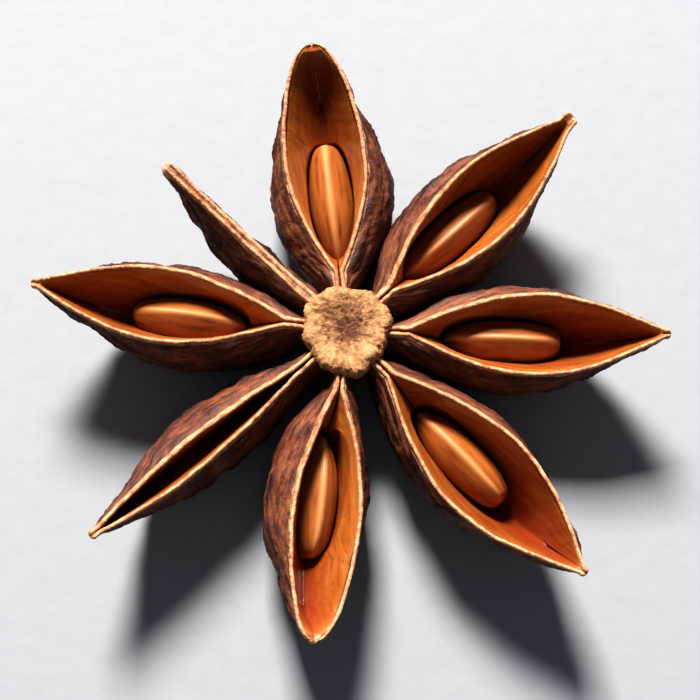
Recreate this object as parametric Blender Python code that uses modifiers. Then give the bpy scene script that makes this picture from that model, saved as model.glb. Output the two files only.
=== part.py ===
"""A star anise pod: eight boat-shaped carpels joined to one central column, with six loose seeds.

Every figure is in millimetres and is turned into metres by MM where a mesh is made. +Z is up. The pod
lies with its open side up on the small flats of its keels, at z = 0, and the origin is the middle of
its outline on that plane. A carpel has a frame of its own: "out" runs from the column's axis to the
tip, "left" is a quarter turn anticlockwise from it, seen from above, and "up" is +Z.
"""

import math
from dataclasses import dataclass

import bmesh
import bpy
from mathutils import Matrix, Vector

MM = 0.001

# The column that the carpels grow from. It stands beside the origin, because the carpels differ in reach.
COLUMN_AT = (-0.224, 0.711)
COLUMN_TOP = 6.2
COLUMN_RADIUS = 2.45
DISH_DEPTH = 0.5
DISH_FLOOR, DISH_SLOPE, RING_CREST, RING_EDGE = 0.35, 0.62, 0.8, 0.93
RING_DROP, RING_THICKNESS = 0.45, 1.1
WAIST_RADIUS, WAIST_TOP, WAIST_FOOT = 1.9, 3.1, 1.6
SCAR_RADIUS, SCAR_HEIGHT, SCAR_FLARE, SCAR_CROWN = 1.15, 0.55, 0.5, 0.12
LOBE_SHARE, LOBES, NOTCHES = 0.06, 3.0, 8.0
KNOB_SHARE, KNOB_BEARING, KNOB_WIDTH = 0.13, -70.0, 24.0
COLUMN_STEPS = 32

# The wall that all carpels share.
BASE_OUT = 1.35
RIM_AT_BASE = 5.7
RIM_RISE_BEND = 1.6
RIM_DIP = 0.3
BASE_DEPTH_SHARE = 0.74
DEEPEST_AT = 0.5
TAPER_BEND, TAPER_FULLNESS = 1.3, 0.9
BELLY_AT = 0.48
BELLY_FULLNESS = 1.1
GAPE_FROM = 0.12
KEEL_SHARPNESS = 1.25
LIP = 0.3
LEAST_LIP = 0.02
LEAST_HALF_WIDTH = 0.68
BEAK_HALF_WIDTH = 0.24
BEAK_HEIGHT = 0.55
LEAST_GAP = 0.07
ROLL_FROM, ROLL_FULL = 0.04, 0.28
FOOT_CUT = 0.15
GROUND_SIDE, GROUND_DEPTH = 44.0, 3.0

# Inside it the rims slope down to a trough, and an oval pocket in its floor holds the seed.
TROUGH_SHARE, TROUGH_BEND = 2.2, 1.4
SLIT_DEPTH = 3.4
GROOVE_SHARE = 0.6
FLOOR_WALL = 0.6
LEAST_FLOOR = 0.1
POCKET_IN_GAP = 0.97
POCKET_ROOM, POCKET_END_ROOM = 0.46, 0.55
POCKET_ROUNDNESS = 2.5
POCKET_CUTS = (-1.0, -0.92, 0.92, 1.0)
CUT_SPACING = 0.35

# How finely the loft is cut.
STATIONS = 14
OUTER_STEPS = 11
POCKET_STEPS = 6
TIP_CROWDING = 1.25

# The seeds, lens-shaped and standing on edge in their carpels.
SEED_RINGS = 8
SEED_SEGMENTS = 14
SEED_POINT = 0.22


@dataclass(frozen=True)
class Seed:
    """A seed's size and its place in the carpel that holds it."""

    out: float
    length: float
    below_rims: float = 2.9
    thickness: float = 2.5
    height: float = 3.6


@dataclass(frozen=True)
class Carpel:
    """One carpel: where it points, how large it is, how far it has split and how it is turned.

    A roll above zero swings the keel to the left. A tip_fullness under 1 makes the tip blunter.
    """

    name: str
    heading: float
    reach: float
    tip_height: float
    breadth: float
    gape: float
    roll: float
    tip_fullness: float = 1.0
    keel_height: float = 0.0
    hollow: bool = True
    seed: Seed | None = None


CARPELS = (
    Carpel("east", -2.1, 17.75, 7.0, 5.9, 4.25, 6.0, seed=Seed(8.7, 6.6)),
    Carpel("northeast", 42.9, 17.3, 7.5, 6.0, 3.95, 10.0, seed=Seed(8.3, 7.0)),
    Carpel("north", 96.9, 16.3, 7.4, 6.9, 4.2, -4.0, tip_fullness=0.45, seed=Seed(8.0, 7.1)),
    Carpel("northwest", 137.3, 13.5, 6.9, 1.6, 0.16, 10.0, keel_height=0.9, hollow=False),
    Carpel("west", 172.6, 17.4, 7.2, 5.6, 3.9, 0.0, seed=Seed(8.8, 6.5)),
    Carpel("southwest", 221.0, 18.1, 6.8, 3.8, 1.3, -14.0),
    Carpel("south", 264.6, 17.7, 7.0, 5.5, 3.6, -18.0, tip_fullness=0.5, seed=Seed(9.0, 7.0)),
    Carpel("southeast", 312.7, 18.9, 6.9, 6.0, 4.75, 2.0, seed=Seed(9.1, 6.8)),
)


def blend(low, high, share):
    """The value that lies this share of the way from low to high."""
    return low + (high - low) * share


def smooth_step(low, high, value):
    """0 below low, 1 above high, and an S-curve between them."""
    share = min(1.0, max(0.0, (value - low) / (high - low)))
    return share * share * (3.0 - 2.0 * share)


def rim_height(carpel, along):
    """Height of the suture's two rims, from the column (along = 0) to the tip (along = 1)."""
    rise = blend(RIM_AT_BASE, carpel.tip_height, along**RIM_RISE_BEND)
    return rise - RIM_DIP * math.sin(math.pi * along)


def depth_share(along):
    """How deep the carpel is at this place, as a share of its deepest section."""
    if along < DEEPEST_AT:
        return blend(BASE_DEPTH_SHARE, 1.0, math.sin(0.5 * math.pi * along / DEEPEST_AT))
    turn = ((along - DEEPEST_AT) / (1.0 - DEEPEST_AT)) ** TAPER_BEND
    return math.cos(0.5 * math.pi * turn) ** TAPER_FULLNESS


def half_gape(carpel, along):
    """Half of the opening between the rims."""
    share = max(0.0, (along - GAPE_FROM) / (1.0 - GAPE_FROM))
    swell = math.sin(math.pi * min(share, 1.0))
    if share > 0.5:
        swell = max(0.0, swell) ** carpel.tip_fullness
    return max(LEAST_GAP, 0.5 * carpel.gape * swell)


def half_breadth(carpel, along):
    """Half of the carpel's full width, which stays outside its lips."""
    power = math.log(0.5) / math.log(BELLY_AT)
    belly = 0.5 * carpel.breadth * math.sin(math.pi * along**power) ** BELLY_FULLNESS
    least = blend(LEAST_HALF_WIDTH, BEAK_HALF_WIDTH, smooth_step(0.2, 1.0, along))
    return max(belly, least, half_gape(carpel, along) + LIP + LEAST_LIP)


def out_at(carpel, along):
    """Distance from the column's axis at this share of the carpel's length."""
    return blend(BASE_OUT, carpel.reach, along)


def pocket_reach(seed):
    """Half of the pocket's length."""
    return 0.5 * seed.length + POCKET_END_ROOM


def pocket_oval(carpel, along):
    """The pocket's size here as a share of its full size: an oval that narrows at its inner end."""
    if not carpel.seed:
        return 0.0
    reach = (out_at(carpel, along) - carpel.seed.out) / pocket_reach(carpel.seed)
    if abs(reach) >= 1.0:
        return 0.0
    oval = (1.0 - abs(reach) ** POCKET_ROUNDNESS) ** (1.0 / POCKET_ROUNDNESS)
    return oval * (1.0 - SEED_POINT * max(0.0, -reach) ** 2)


def arc(half_width, opening, bottom, top, steps, sharpness=1.0):
    """Points from the left rim down round the keel and up to the right rim of one skin.

    The skin is an egg-shaped arc: widest at half_width, and cut open at the top so that its rims stand
    at plus and minus opening. A sharpness over 1 narrows its lower half to a keel.
    """
    rim_angle = math.pi - math.asin(min(1.0, opening / half_width))
    points = []
    for step in range(steps + 1):
        angle = blend(-rim_angle, rim_angle, step / steps)
        side = math.sin(angle)
        if abs(angle) < 0.5 * math.pi:
            side = math.copysign(abs(side) ** sharpness, side)
        share = (1.0 - math.cos(angle)) / (1.0 - math.cos(rim_angle))
        points.append(Vector((-half_width * side, blend(bottom, top, share))))
    return points


def trough_depth(carpel, gap):
    """How deep the trough's crease lies below the rims."""
    if not carpel.hollow:
        return GROOVE_SHARE * gap
    return TROUGH_SHARE * gap if carpel.seed else SLIT_DEPTH


def trough(across, gap, deepest):
    """Depth of the trough at this distance from its crease."""
    return deepest * (1.0 - (across / gap) ** TROUGH_BEND)


def half_lining(carpel, along, gap, height):
    """(across, depth) points of half the inner skin, from its rim to the middle."""
    floor = max(height - FLOOR_WALL, LEAST_FLOOR)
    deepest = min(trough_depth(carpel, gap), floor)
    oval = pocket_oval(carpel, along)
    if oval == 0.0:
        steps = POCKET_STEPS + 2
        spread = [gap * (1.0 - step / steps) for step in range(steps + 1)]
        return [(across, trough(across, gap, deepest)) for across in spread]
    seed = carpel.seed
    wide = oval * (0.5 * seed.thickness + POCKET_ROOM)
    deep = oval * (0.5 * seed.height + POCKET_ROOM)
    wide = min(wide, POCKET_IN_GAP * gap)
    points = [(gap, 0.0), (wide, trough(wide, gap, deepest))]
    for step in range(POCKET_STEPS + 1):
        turn = 0.5 * math.pi * step / POCKET_STEPS
        across = wide * math.cos(turn)
        depth = max(seed.below_rims + deep * math.sin(turn), trough(across, gap, deepest))
        points.append((across, min(depth, floor)))
    return points


def lining(carpel, along, gap, top, height):
    """The inner skin from the left rim down to the middle and up to the right one."""
    half = half_lining(carpel, along, gap, height)
    left = [Vector((across, top - depth)) for across, depth in half]
    right = [Vector((-across, top - depth)) for across, depth in half[-2::-1]]
    return left + right


def section(carpel, along, depth):
    """The closed outline of the carpel's wall at one place, as (left, up) points."""
    top = rim_height(carpel, along)
    height = max(BEAK_HEIGHT, depth * depth_share(along))
    gap = half_gape(carpel, along)
    outer_half = half_breadth(carpel, along)
    lip = min(LIP, outer_half - gap - LEAST_LIP)
    outer = arc(outer_half, gap + lip, top - height, top, OUTER_STEPS, KEEL_SHARPNESS)
    inner = lining(carpel, along, gap, top, height)
    return [rolled(carpel, along, point) for point in outer + inner[::-1]]


def roll_angle(carpel, along):
    """How far the carpel has rolled at this place: not at the column, and fully from ROLL_FULL on."""
    return math.radians(carpel.roll) * smooth_step(ROLL_FROM, ROLL_FULL, along)


def rolled(carpel, along, point):
    """A (left, up) point turned with the carpel's roll, about the middle of its opening."""
    pivot = Vector((0.0, rim_height(carpel, along)))
    return pivot + Matrix.Rotation(roll_angle(carpel, along), 2) @ (point - pivot)


def keel_depth(carpel):
    """The depth below the rims that brings the rolled keel to its height over the ground."""
    depth = carpel.tip_height
    wanted = carpel.keel_height - FOOT_CUT
    for _ in range(4):
        lowest = min(point.y for place in stations(carpel) for point in section(carpel, place, depth))
        depth += lowest - wanted
    return depth


def stations(carpel):
    """Places along a carpel, closer together towards its tip and with cuts at its pocket's ends."""
    places = [1.0 - (1.0 - step / (STATIONS - 1)) ** TIP_CROWDING for step in range(STATIONS)]
    if not carpel.seed:
        return places
    length = carpel.reach - BASE_OUT
    cuts = [(carpel.seed.out + cut * pocket_reach(carpel.seed) - BASE_OUT) / length for cut in POCKET_CUTS]
    clear = [place for place in places if min(abs(place - cut) for cut in cuts) * length > CUT_SPACING]
    return sorted(clear + cuts)


def carpel_object(carpel, material):
    """The wall of one carpel: its sections skinned into a closed boat, both ends capped."""
    depth = keel_depth(carpel)
    shape = bmesh.new()
    rings = []
    for along in stations(carpel):
        out = out_at(carpel, along)
        ring = []
        for point in section(carpel, along, depth):
            ring.append(shape.verts.new(Vector((out, *point)) * MM))
        rings.append(ring)
    for near, far in zip(rings, rings[1:]):
        for index in range(len(near)):
            after = (index + 1) % len(near)
            shape.faces.new((near[index], near[after], far[after], far[index]))
    shape.faces.new(rings[0][::-1])
    shape.faces.new(rings[-1])
    bmesh.ops.recalc_face_normals(shape, faces=shape.faces)
    made = mesh_object(f"carpel_{carpel.name}", shape, material)
    made.matrix_world = carpel_frame(carpel)
    return made


def carpel_frame(carpel):
    """The matrix that carries out, left and up into the pod's own frame."""
    place = Matrix.Translation(Vector((*COLUMN_AT, 0.0)) * MM)
    return place @ Matrix.Rotation(math.radians(carpel.heading), 4, "Z")


def column_profile():
    """(radius, height) of the column from the middle of its dished top, over the ring, down to the scar."""
    return (
        (0.0, COLUMN_TOP - DISH_DEPTH),
        (DISH_FLOOR * COLUMN_RADIUS, COLUMN_TOP - 0.85 * DISH_DEPTH),
        (DISH_SLOPE * COLUMN_RADIUS, COLUMN_TOP - 0.3 * DISH_DEPTH),
        (RING_CREST * COLUMN_RADIUS, COLUMN_TOP),
        (RING_EDGE * COLUMN_RADIUS, COLUMN_TOP - 0.3 * RING_DROP),
        (COLUMN_RADIUS, COLUMN_TOP - RING_DROP),
        (COLUMN_RADIUS, COLUMN_TOP - RING_THICKNESS),
        (WAIST_RADIUS, WAIST_TOP),
        (WAIST_RADIUS, WAIST_FOOT),
        (SCAR_RADIUS + 0.5 * SCAR_FLARE, SCAR_HEIGHT + SCAR_FLARE),
        (SCAR_RADIUS, SCAR_HEIGHT),
        (0.0, SCAR_HEIGHT + SCAR_CROWN),
    )


def swelling(angle):
    """How far the column swells or shrinks at this bearing, as a share of its radius: lobes and one knob."""
    lobes = 0.6 * math.sin(LOBES * angle + 0.7) + 0.4 * math.sin(NOTCHES * angle - 0.4)
    from_knob = math.remainder(angle - math.radians(KNOB_BEARING), 2.0 * math.pi)
    knob = math.exp(-((from_knob / math.radians(KNOB_WIDTH)) ** 2))
    return LOBE_SHARE * lobes + KNOB_SHARE * knob


def turned_column(material):
    """The column as a turned profile, then swollen unevenly round its axis."""
    outline = bmesh.new()
    points = [outline.verts.new((radius * MM, 0.0, height * MM)) for radius, height in column_profile()]
    for above, below in zip(points, points[1:]):
        outline.edges.new((above, below))
    turned = mesh_object("column_profile", outline, material)
    bpy.context.scene.collection.objects.link(turned)
    screw = turned.modifiers.new("turn", "SCREW")
    screw.steps = COLUMN_STEPS
    screw.render_steps = COLUMN_STEPS
    screw.use_merge_vertices = True
    screw.merge_threshold = 1e-5
    bpy.context.view_layer.update()
    graph = bpy.context.evaluated_depsgraph_get()
    mesh = bpy.data.meshes.new_from_object(turned.evaluated_get(graph))
    bpy.data.objects.remove(turned)
    for vertex in mesh.vertices:
        swell = 1.0 + swelling(math.atan2(vertex.co.y, vertex.co.x))
        vertex.co.x *= swell
        vertex.co.y *= swell
    mesh.transform(Matrix.Translation(Vector((*COLUMN_AT, 0.0)) * MM))
    return mesh


def seed_object(carpel, material):
    """A seed: a ball pressed into a lens, drawn out at its inner end and leaned in its carpel."""
    seed = carpel.seed
    shape = bmesh.new()
    bmesh.ops.create_uvsphere(
        shape, u_segments=SEED_SEGMENTS, v_segments=SEED_RINGS, radius=0.5,
        matrix=Matrix.Rotation(0.5 * math.pi, 4, "Y"),
    )
    for vertex in shape.verts:
        inward = max(0.0, -2.0 * vertex.co.x)
        narrowed = 1.0 - SEED_POINT * inward * inward
        vertex.co.x *= seed.length * MM
        vertex.co.y *= seed.thickness * narrowed * MM
        vertex.co.z *= seed.height * narrowed * MM
    made = mesh_object(f"seed_{carpel.name}", shape, material)
    along = (seed.out - BASE_OUT) / (carpel.reach - BASE_OUT)
    middle = rolled(carpel, along, Vector((0.0, rim_height(carpel, along) - seed.below_rims)))
    place = Matrix.Translation(Vector((seed.out, *middle)) * MM)
    lean = Matrix.Rotation(roll_angle(carpel, along), 4, "X")
    made.matrix_world = carpel_frame(carpel) @ place @ lean
    return made


def ground_object(material):
    """The block under z = 0 that cuts the keels' flats."""
    shape = bmesh.new()
    bmesh.ops.create_cube(shape, size=1.0)
    made = mesh_object("ground", shape, material)
    size = Vector((GROUND_SIDE, GROUND_SIDE, GROUND_DEPTH)) * MM
    middle = Matrix.Translation(Vector((0.0, 0.0, -0.5 * GROUND_DEPTH)) * MM)
    made.matrix_world = middle @ Matrix.Diagonal((*size, 1.0))
    return made


def boolean(target, name, operation, others):
    """A Boolean modifier that takes all the objects of a collection."""
    modifier = target.modifiers.new(name, "BOOLEAN")
    modifier.operation = operation
    modifier.operand_type = "COLLECTION"
    modifier.collection = others


def helper(shape, holder):
    """Puts a shape that is only joined or cut into its collection, out of the render."""
    shape.hide_render = True
    shape.display_type = "WIRE"
    holder.objects.link(shape)


def mesh_object(name, shape, material):
    """A smooth-shaded object that holds the shape."""
    mesh = bpy.data.meshes.new(name)
    shape.to_mesh(mesh)
    shape.free()
    mesh.materials.append(material)
    mesh.shade_smooth()
    return bpy.data.objects.new(name, mesh)


def finish(name, colour, roughness):
    """A plain Principled material."""
    material = bpy.data.materials.new(name)
    material.use_nodes = True
    shader = material.node_tree.nodes["Principled BSDF"]
    shader.inputs["Base Color"].default_value = (*colour, 1.0)
    shader.inputs["Roughness"].default_value = roughness
    shader.inputs["Metallic"].default_value = 0.0
    return material


def collection(name):
    """A new collection in the scene."""
    made = bpy.data.collections.new(name)
    bpy.context.scene.collection.children.link(made)
    return made


def main():
    """Builds the pod and its seeds."""
    for old in list(bpy.data.objects):
        bpy.data.objects.remove(old)
    pod_parts = collection("star_anise_pod")
    joined_parts = collection("carpels_to_join")
    cutters = collection("cutters")
    skin = finish("pod_skin", (0.19, 0.062, 0.024), 0.6)
    seed_coat = finish("seed_coat", (0.42, 0.15, 0.03), 0.25)

    for carpel in CARPELS:
        helper(carpel_object(carpel, skin), joined_parts)
        if carpel.seed:
            pod_parts.objects.link(seed_object(carpel, seed_coat))
    helper(ground_object(skin), cutters)

    pod = bpy.data.objects.new("pod", turned_column(skin))
    pod_parts.objects.link(pod)
    boolean(pod, "join_carpels", "UNION", joined_parts)
    boolean(pod, "cut_flats", "DIFFERENCE", cutters)


main()
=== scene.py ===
"""Looks of a star anise pod: eight woody carpels round a column, six of them holding a glossy seed.

Every size is in millimetres and is turned into metres by MM where a mesh is made. A carpel has a frame
of its own: "out" runs from the column's axis to the tip, "left" is a quarter turn anticlockwise from
it, seen from above, and "up" is +Z. Each carpel's wall is one closed loft. Its rings run down round the
outer skin from the left rim to the right one, over the right rim's bead, through the lining and back
over the left bead.
"""

import itertools
import logging
import math
from dataclasses import dataclass, field
from enum import Enum

import bpy
import numpy as np
from mathutils import Matrix, Vector


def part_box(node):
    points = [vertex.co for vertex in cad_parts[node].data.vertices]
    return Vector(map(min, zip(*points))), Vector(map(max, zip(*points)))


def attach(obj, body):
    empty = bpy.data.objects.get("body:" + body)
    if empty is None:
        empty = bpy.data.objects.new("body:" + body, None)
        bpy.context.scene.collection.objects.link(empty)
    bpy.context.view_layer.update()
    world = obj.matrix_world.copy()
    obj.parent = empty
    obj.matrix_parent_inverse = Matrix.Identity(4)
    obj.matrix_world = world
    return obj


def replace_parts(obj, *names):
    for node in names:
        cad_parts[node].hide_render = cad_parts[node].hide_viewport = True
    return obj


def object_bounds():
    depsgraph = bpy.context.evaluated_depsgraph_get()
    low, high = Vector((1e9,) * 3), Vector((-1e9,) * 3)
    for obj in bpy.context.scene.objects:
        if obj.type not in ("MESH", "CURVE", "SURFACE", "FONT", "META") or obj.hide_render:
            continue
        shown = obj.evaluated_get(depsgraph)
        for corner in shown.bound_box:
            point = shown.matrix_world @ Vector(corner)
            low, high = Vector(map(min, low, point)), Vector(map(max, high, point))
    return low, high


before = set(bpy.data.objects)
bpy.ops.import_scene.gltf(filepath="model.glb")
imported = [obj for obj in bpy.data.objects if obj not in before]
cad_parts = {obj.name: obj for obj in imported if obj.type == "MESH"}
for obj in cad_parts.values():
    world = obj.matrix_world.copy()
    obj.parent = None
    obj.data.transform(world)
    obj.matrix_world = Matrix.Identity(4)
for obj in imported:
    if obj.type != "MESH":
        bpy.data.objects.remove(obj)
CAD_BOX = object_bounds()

MM = 0.001
BODY = "root"
POD_NODE = "pod"
COLUMN_AT = (-0.224, 0.711)
LOG = logging.getLogger("star_anise")


# ---------------------------------------------------------------- shaping by numbers


def blend(low: np.ndarray, high: np.ndarray, share: np.ndarray) -> np.ndarray:
    """The values that lie this share of the way from low to high."""
    return low + (high - low) * share


def smooth_step(low: float, high: float, value: np.ndarray) -> np.ndarray:
    """0 below low, 1 above high, and an S-curve between them."""
    share = np.clip((np.asarray(value, float) - low) / (high - low), 0.0, 1.0)
    return share * share * (3.0 - 2.0 * share)


def hump(value: np.ndarray, middle: float, width: float) -> np.ndarray:
    """A bell of height 1 at the middle."""
    return np.exp(-(((np.asarray(value, float) - middle) / width) ** 2))


def grain(places: np.ndarray, seed: int) -> np.ndarray:
    """Smooth gradient noise in three directions.

    Args:
        places: Points in an array whose last axis is 3, one unit to a grain.
        seed: Which of the noise's patterns is taken.

    Returns:
        A value from about -1 to 1 for each point.
    """
    chance = np.random.default_rng(seed)
    order = chance.permutation(256)
    leans = chance.normal(size=(256, 3))
    leans /= np.linalg.norm(leans, axis=1, keepdims=True)
    cell = np.floor(places).astype(int)
    within = places - cell
    ease = within**3 * (within * (6.0 * within - 15.0) + 10.0)
    total = np.zeros(places.shape[:-1])
    for corner in itertools.product((0, 1), repeat=3):
        x, y, z = np.moveaxis((cell + corner) & 255, -1, 0)
        lean = leans[order[(order[(order[x] + y) & 255] + z) & 255]]
        weight = np.prod(np.where(corner, ease, 1.0 - ease), axis=-1)
        total += weight * ((within - corner) * lean).sum(axis=-1)
    return 1.6 * total


def layered_grain(places: np.ndarray, seed: int, layers: int, fall: float = 0.5) -> np.ndarray:
    """Grain over finer grain.

    Args:
        places: Points in an array whose last axis is 3.
        seed: Which pattern is taken for the first layer.
        layers: How many layers, each at half the size of the one before.
        fall: Strength of each layer against the one before.

    Returns:
        A value from about -1 to 1 for each point.
    """
    total = np.zeros(places.shape[:-1])
    strength, whole = 1.0, 0.0
    for layer in range(layers):
        total += strength * grain(places * 2.0**layer, seed + layer)
        whole += strength
        strength *= fall
    return total / whole


def ridges(places: np.ndarray, seed: int, layers: int) -> np.ndarray:
    """Sharp crests between rounded hollows, from about -1 in the hollows to 1 on the crests."""
    total = np.zeros(places.shape[:-1])
    strength, whole = 1.0, 0.0
    for layer in range(layers):
        total += strength * (1.0 - 3.0 * np.abs(grain(places * 2.0**layer, seed + layer)))
        whole += strength
        strength *= 0.5
    return total / whole


def waver(out: np.ndarray, seed: int, length: float) -> np.ndarray:
    """A slow wander along one line, from about -1 to 1, with swings of this length."""
    places = np.stack([out / length, np.full_like(out, 0.37), np.full_like(out, 0.71)], axis=-1)
    return layered_grain(places, seed, 3)


# ---------------------------------------------------------------- meshes


@dataclass
class Skin:
    """A grid of points that becomes one closed mesh, with named values on its points."""

    name: str
    points: np.ndarray
    values: dict[str, np.ndarray]
    faces: list[tuple[int, ...]]
    face_slots: list[int]

    def make(self, materials: list[bpy.types.Material]) -> bpy.types.Object:
        """Makes the smooth-shaded object.

        Args:
            materials: The finishes, in the order that face_slots counts them.

        Returns:
            The object, linked to the scene.
        """
        mesh = bpy.data.meshes.new(self.name)
        mesh.from_pydata((self.points.reshape(-1, 3) * MM).tolist(), [], self.faces)
        for name, value in self.values.items():
            kind = "FLOAT_VECTOR" if value.ndim > 1 and value.shape[-1] == 3 else "FLOAT"
            place = "vector" if kind == "FLOAT_VECTOR" else "value"
            layer = mesh.attributes.new(name, kind, "POINT")
            layer.data.foreach_set(place, value.astype(np.float32).ravel())
        for material in materials:
            mesh.materials.append(material)
        mesh.polygons.foreach_set("material_index", self.face_slots)
        mesh.shade_smooth()
        mesh.update()
        made = bpy.data.objects.new(self.name, mesh)
        bpy.context.scene.collection.objects.link(made)
        return made


def ring_faces(rings: int, around: int) -> list[tuple[int, ...]]:
    """Quads between closed rings of points, and one face over each end ring.

    Args:
        rings: Number of rings.
        around: Points in each ring.

    Returns:
        The quads in ring order, then the first and the last ring's end faces.
    """
    ring, point = np.meshgrid(np.arange(rings - 1), np.arange(around), indexing="ij")
    after = (point + 1) % around
    quads = np.stack(
        [ring * around + point, ring * around + after,
         (ring + 1) * around + after, (ring + 1) * around + point], axis=-1,
    ).reshape(-1, 4)
    faces = [tuple(quad) for quad in quads.tolist()]
    faces.append(tuple(range(around - 1, -1, -1)))
    faces.append(tuple(range((rings - 1) * around, rings * around)))
    return faces


# ---------------------------------------------------------------- finishes


def linear(tint: str) -> tuple[float, float, float, float]:
    """A screen colour, six hexadecimal digits, as the linear colour that a shader takes."""
    parts = [int(tint[place : place + 2], 16) / 255.0 for place in (0, 2, 4)]
    bent = [part / 12.92 if part <= 0.04045 else ((part + 0.055) / 1.055) ** 2.4 for part in parts]
    return (*bent, 1.0)


class Weave:
    """A material's node tree, written one node at a time."""

    def __init__(self, name: str) -> None:
        """Starts a material with one Principled shader."""
        self.material = bpy.data.materials.new(name)
        self.material.use_nodes = True
        self.tree = self.material.node_tree
        self.shader = self.tree.nodes["Principled BSDF"]

    def node(self, kind: str, inputs: dict, **settings) -> bpy.types.Node:
        """Adds a node.

        Args:
            kind: The node's type.
            inputs: For each input, by name or number, a value or another node's output.
            **settings: The node's own settings.

        Returns:
            The node.
        """
        made = self.tree.nodes.new(kind)
        for name, value in settings.items():
            setattr(made, name, value)
        for name, value in inputs.items():
            if isinstance(value, bpy.types.NodeSocket):
                self.tree.links.new(value, made.inputs[name])
            else:
                made.inputs[name].default_value = value
        return made

    def value(self, name: str) -> bpy.types.NodeSocket:
        """The value that the mesh's points carry under this name."""
        return self.node("ShaderNodeAttribute", {}, attribute_name=name).outputs["Fac"]

    def vector(self, name: str) -> bpy.types.NodeSocket:
        """The three values that the mesh's points carry under this name."""
        return self.node("ShaderNodeAttribute", {}, attribute_name=name).outputs["Vector"]

    def lay(self, stretch: tuple[float, float, float]) -> bpy.types.NodeSocket:
        """The places along and across the piece's own grain, in millimetres, stretched by these factors."""
        return self.node("ShaderNodeVectorMath", {0: self.vector("lay"), 1: stretch}, operation="MULTIPLY").outputs[0]

    def noise(
        self, place: bpy.types.NodeSocket, scale: float, detail: float = 3.0, rough: float = 0.55
    ) -> bpy.types.NodeSocket:
        """Cloudy noise from 0 to 1, with this many grains to a millimetre."""
        inputs = {"Vector": place, "Scale": scale, "Detail": detail, "Roughness": rough}
        return self.node("ShaderNodeTexNoise", inputs).outputs[0]

    def cells(self, place: bpy.types.NodeSocket, scale: float) -> bpy.types.NodeSocket:
        """Distance from the nearest of a scatter of points, this many to a millimetre."""
        return self.node("ShaderNodeTexVoronoi", {"Vector": place, "Scale": scale}).outputs["Distance"]

    def sum(self, first, second, operation: str = "ADD", clamp: bool = False) -> bpy.types.NodeSocket:
        """One arithmetic step on two values."""
        made = self.node("ShaderNodeMath", {0: first, 1: second}, operation=operation, use_clamp=clamp)
        return made.outputs[0]

    def between(self, value, low: float, high: float, start: float = 0.0, end: float = 1.0) -> bpy.types.NodeSocket:
        """A value carried from low..high to start..end and held there."""
        inputs = {"Value": value, "From Min": low, "From Max": high, "To Min": start, "To Max": end}
        return self.node("ShaderNodeMapRange", inputs).outputs["Result"]

    def ramp(self, value, stops: tuple[tuple[float, str], ...]) -> bpy.types.NodeSocket:
        """Colours blended along a value.

        Args:
            value: The value, from 0 to 1.
            stops: Pairs of a place on it and a screen colour.

        Returns:
            The colour.
        """
        made = self.node("ShaderNodeValToRGB", {0: value})
        elements = made.color_ramp.elements
        while len(elements) < len(stops):
            elements.new(0.5)
        for element, (place, tint) in zip(elements, stops):
            element.position = place
            element.color = linear(tint)
        return made.outputs["Color"]

    def mix(self, share, first, second, how: str = "MIX") -> bpy.types.NodeSocket:
        """Two colours mixed; each is a screen colour or another node's output."""
        sides = [linear(side) if isinstance(side, str) else side for side in (first, second)]
        made = self.node("ShaderNodeMixRGB", {"Fac": share, 1: sides[0], 2: sides[1]}, blend_type=how)
        return made.outputs[0]

    def bump(self, height, depth: float, below=None) -> bpy.types.NodeSocket:
        """A relief of this depth in millimetres, laid over another one if it is given."""
        inputs = {"Height": height, "Distance": depth * MM, "Strength": 1.0}
        if below is not None:
            inputs["Normal"] = below
        return self.node("ShaderNodeBump", inputs).outputs[0]

    def finish(self, colour, roughness, normal, **own) -> bpy.types.Material:
        """Connects the shader.

        Args:
            colour: The base colour's output.
            roughness: The roughness, as an output or a number.
            normal: The bump's output.
            **own: Constant values for the shader's own sockets, with _ for a space.

        Returns:
            The material.
        """
        for name, value in (("Base Color", colour), ("Roughness", roughness), ("Normal", normal)):
            if isinstance(value, bpy.types.NodeSocket):
                self.tree.links.new(value, self.shader.inputs[name])
            else:
                self.shader.inputs[name].default_value = value
        for name, value in own.items():
            self.shader.inputs[name.replace("_", " ")].default_value = value
        return self.material


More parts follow.
